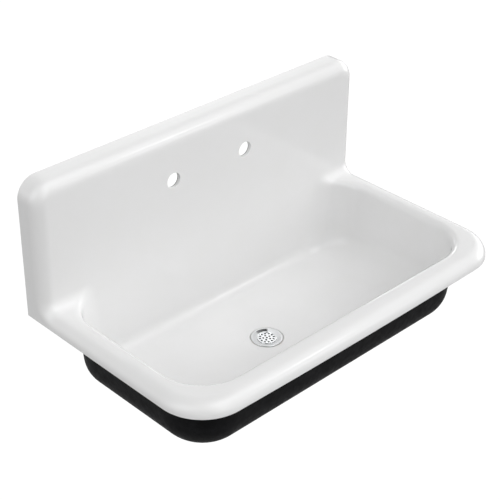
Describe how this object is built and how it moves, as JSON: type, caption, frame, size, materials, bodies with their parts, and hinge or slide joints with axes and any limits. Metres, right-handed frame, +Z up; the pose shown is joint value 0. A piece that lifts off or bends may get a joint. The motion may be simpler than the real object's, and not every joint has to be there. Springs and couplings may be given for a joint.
{
  "type": "wall-mounted utility sink",
  "caption": "Wall-mounted utility sink in enamelled cast iron, with a tall backsplash drilled for a faucet, a wide rounded rim, a deep basin and a strainer drain.",
  "frame": {"origin": "on the wall plane, at the middle of the four wall screws of the two hangers", "axes": "+Z up, -Y out of the wall towards someone at the sink, +X to that person's right"},
  "size_m": [0.895, 0.518, 0.6027],
  "materials": {
    "sink_casting": "dark painted casting, slightly rough",
    "enamel_coat": "glossy white vitreous enamel",
    "wall_hanger": "zinc-plated pressed steel",
    "drain_body": "polished chrome plate",
    "strainer_plate": "polished chrome plate",
    "putty_ring": "soft putty",
    "rubber_gasket": "matte black rubber",
    "friction_washer": "pressed fibre",
    "locknut": "cast brass",
    "tailpiece": "polished chrome plate",
    "tailpiece_washer": "white plastic",
    "coupling_nut": "polished chrome plate"
  },
  "bodies": {
    "sink": {"sink_casting": "sink_casting", "enamel_coat": "enamel_coat", "wall_hanger_left": "wall_hanger", "wall_hanger_right": "wall_hanger", "drain_body": "drain_body", "putty_ring": "putty_ring", "rubber_gasket": "rubber_gasket", "friction_washer": "friction_washer", "locknut": "locknut", "tailpiece": "tailpiece", "tailpiece_washer": "tailpiece_washer", "coupling_nut": "coupling_nut"},
    "strainer": {"strainer_plate": "strainer_plate"}
  },
  "joints": [
    {"name": "strainer_lift", "type": "slide", "parent": "sink", "child": "strainer", "axis": [0, 0, 1], "range_m": [0, 0.2]}
  ]
}
